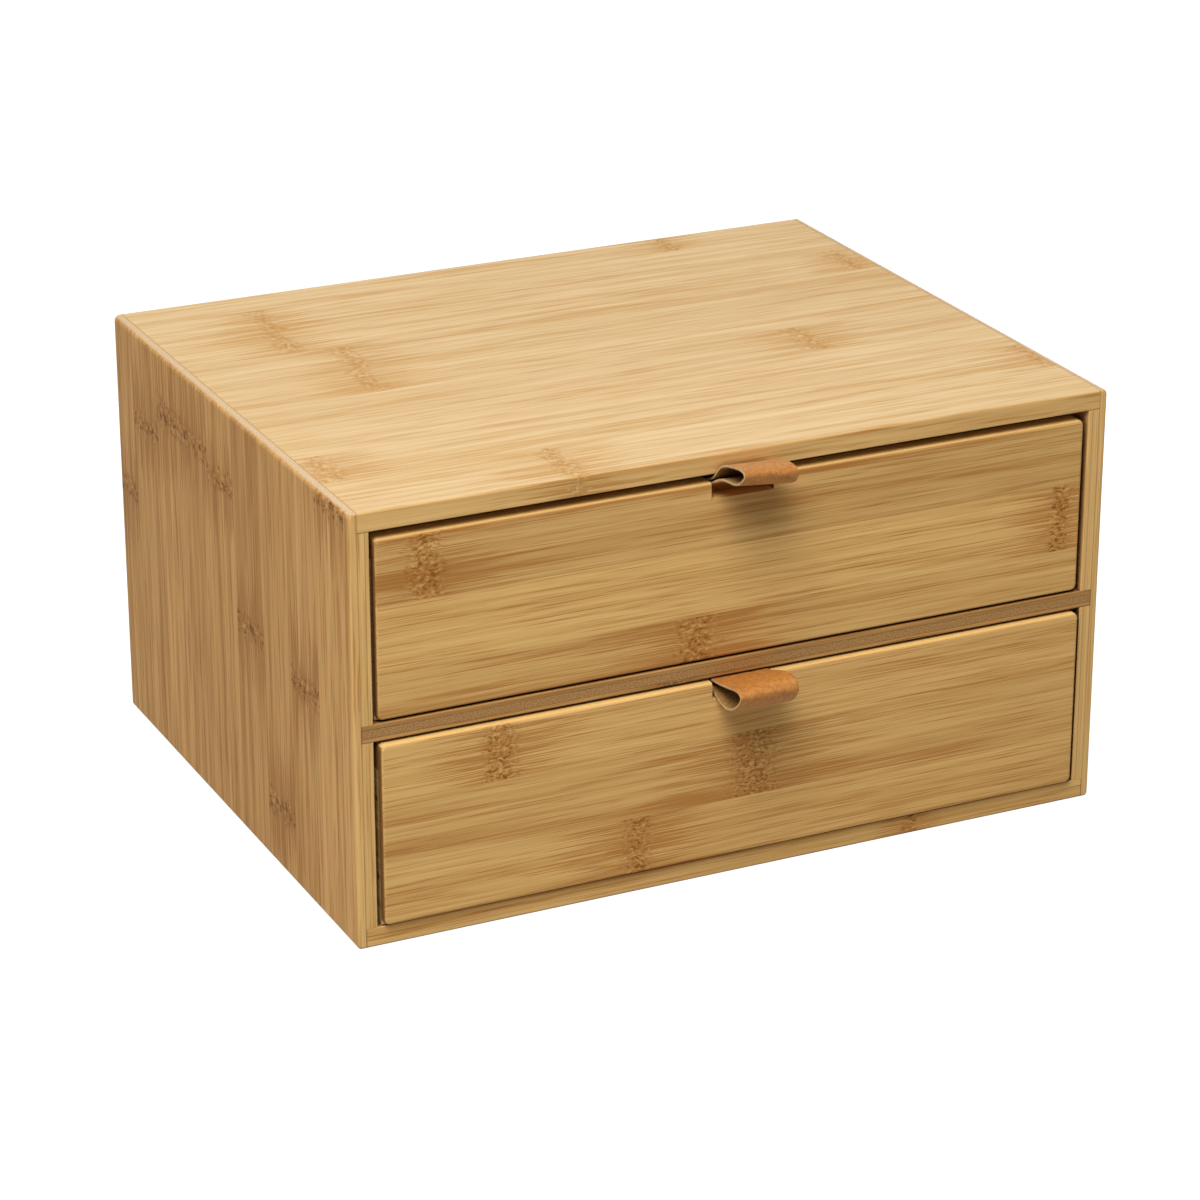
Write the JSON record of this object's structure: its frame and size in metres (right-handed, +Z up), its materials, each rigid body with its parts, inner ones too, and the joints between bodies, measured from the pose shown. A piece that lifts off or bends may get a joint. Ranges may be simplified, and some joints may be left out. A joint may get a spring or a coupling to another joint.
{
  "type": "storage box with drawers",
  "caption": "Tabletop bamboo box with stacked sliding drawers, each front notched at the top for a folded leather loop pull.",
  "frame": {"origin": "under the middle of the case, on the surface that it stands on", "axes": "+X across the case to the right seen from the front, +Y towards the back, +Z up; drawers open along -Y"},
  "size_m": [0.32, 0.2783, 0.175],
  "materials": {
    "case_bamboo": "satin",
    "drawer_bamboo": "satin",
    "thin_bamboo_board": "matte",
    "strap_leather": "satin",
    "pin_steel": "satin",
    "tack_steel": "satin"
  },
  "bodies": {
    "case": {"left_side_panel": "case_bamboo", "right_side_panel": "case_bamboo", "top_panel": "case_bamboo", "bottom_panel": "case_bamboo", "middle_shelf": "case_bamboo", "back_panel": "thin_bamboo_board", "back_panel_pins": "pin_steel"},
    "upper_drawer": {"upper_drawer_front": "drawer_bamboo", "upper_drawer_left_side": "drawer_bamboo", "upper_drawer_right_side": "drawer_bamboo", "upper_drawer_back": "drawer_bamboo", "upper_drawer_bottom": "thin_bamboo_board", "upper_drawer_pull_strap": "strap_leather", "upper_drawer_pull_tacks": "tack_steel", "upper_drawer_pins": "pin_steel"},
    "lower_drawer": {"lower_drawer_front": "drawer_bamboo", "lower_drawer_left_side": "drawer_bamboo", "lower_drawer_right_side": "drawer_bamboo", "lower_drawer_back": "drawer_bamboo", "lower_drawer_bottom": "thin_bamboo_board", "lower_drawer_pull_strap": "strap_leather", "lower_drawer_pull_tacks": "tack_steel", "lower_drawer_pins": "pin_steel"}
  },
  "joints": [
    {"name": "upper_drawer_slide", "type": "slide", "parent": "case", "child": "upper_drawer", "axis": [0, -1, 0], "range_m": [0, 0.19]},
    {"name": "lower_drawer_slide", "type": "slide", "parent": "case", "child": "lower_drawer", "axis": [0, -1, 0], "range_m": [-0.0025, 0.1875]}
  ]
}
